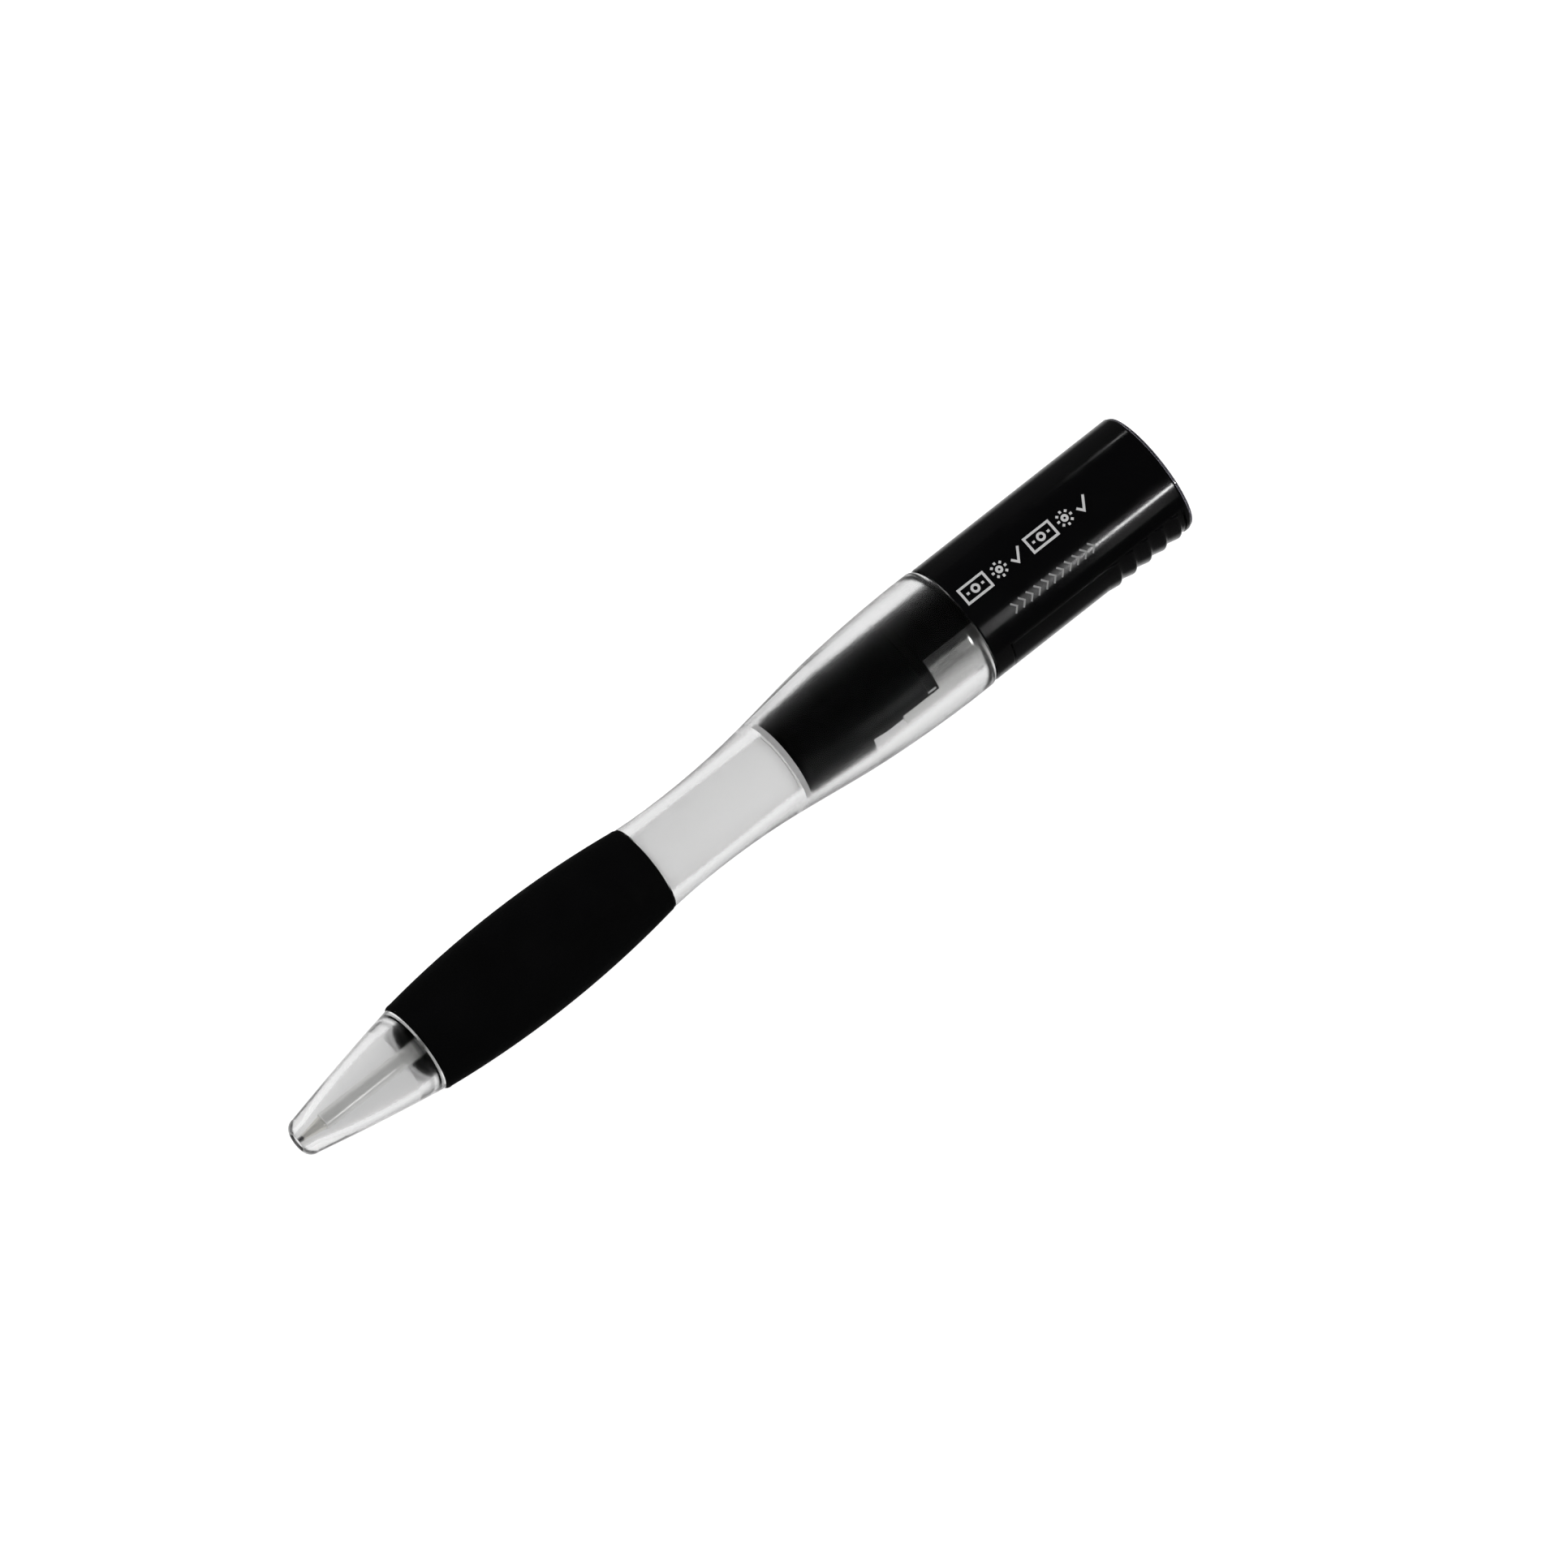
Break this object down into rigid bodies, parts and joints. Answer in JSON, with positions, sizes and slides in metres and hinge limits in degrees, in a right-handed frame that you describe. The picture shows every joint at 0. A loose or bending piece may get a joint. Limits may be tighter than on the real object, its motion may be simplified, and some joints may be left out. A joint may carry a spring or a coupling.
{
  "type": "counterfeit detector pen",
  "caption": "Twist-action ballpoint pen with a clear nose, rubber grip, frosted waisted barrel and a black ultraviolet note-checking lamp with a side switch at its rear end.",
  "frame": {"origin": "on the pen's long axis, half way along its 139.65 mm length", "axes": "+X along the pen from the writing end towards the lamp, +Z through the printed side, -Y through the switch lever"},
  "size_m": [0.1396, 0.0176, 0.0176],
  "materials": {
    "clear_plastic": "clear polished",
    "frosted_plastic": "frosted translucent",
    "black_rubber": "fine matte",
    "black_gloss": "satin gloss",
    "black_plastic": "moulded satin",
    "white_plastic": "natural",
    "grey_plastic": "moulded satin",
    "nickel_silver": "bright turned",
    "refill_metal": "drawn tube",
    "carbide": "ground",
    "ink": "wet",
    "grease": "wet",
    "cell_steel": "plated",
    "nickel_sheet": "bright rolled",
    "spring_steel": "drawn wire",
    "pin_steel": "ground",
    "led_epoxy": "clear cast",
    "tinned_lead": "tinned",
    "mirror_plate": "metallised"
  },
  "bodies": {
    "barrel": {"barrel": "frosted_plastic", "grip_sleeve": "black_rubber", "guide_sleeve": "white_plastic", "cam_retainer": "grey_plastic"},
    "nose": {"nose_cone": "clear_plastic"},
    "feed_cam": {"twist_cam": "white_plastic"},
    "refill": {"refill_point": "nickel_silver", "writing_ball": "carbide", "refill_tube": "refill_metal", "ink_column": "ink", "ink_follower": "grease", "refill_pusher": "white_plastic"},
    "lamp_unit": {"battery_tube": "black_plastic", "friction_ring": "black_rubber", "battery_cell_front": "cell_steel", "battery_cell_middle": "cell_steel", "battery_cell_rear": "cell_steel", "battery_spring": "spring_steel", "contact_strip": "nickel_sheet", "positive_contact": "nickel_sheet", "lamp_shell": "black_gloss", "pivot_pin": "pin_steel", "lever_spring": "spring_steel", "uv_led": "led_epoxy", "led_leads": "tinned_lead", "led_holder": "black_plastic", "reflector": "mirror_plate", "lamp_lens": "clear_plastic"},
    "switch": {"switch_lever": "black_gloss", "bridge_contact": "nickel_sheet"}
  },
  "joints": [
    {"name": "nose_unscrew", "type": "slide", "parent": "barrel", "child": "nose", "axis": [-1, 0, 0], "range_m": [0, 0.026]},
    {"name": "lamp_twist", "type": "hinge", "parent": "barrel", "child": "feed_cam", "pos_m": [0, 0, 0], "axis": [1, 0, 0], "range_deg": [0, 180]},
    {"name": "refill_feed", "type": "slide", "parent": "barrel", "child": "refill", "axis": [-1, 0, 0], "range_m": [0, 0.004]},
    {"name": "lamp_unit_pull_out", "type": "slide", "parent": "feed_cam", "child": "lamp_unit", "axis": [1, 0, 0], "range_m": [0, 0.036]},
    {"name": "switch_press", "type": "hinge", "parent": "lamp_unit", "child": "switch", "pos_m": [0.04292, -0.0049, 0], "axis": [0, 0, 1], "range_deg": [0, 2.2], "stiffness_Nm_per_rad": 0.8, "springref_deg": -57.3, "deforming": ["lever_spring"]}
  ],
  "couplings": [
    {"joint": "refill_feed", "follows": "lamp_twist", "m_per_rad": 0.0012732}
  ]
}
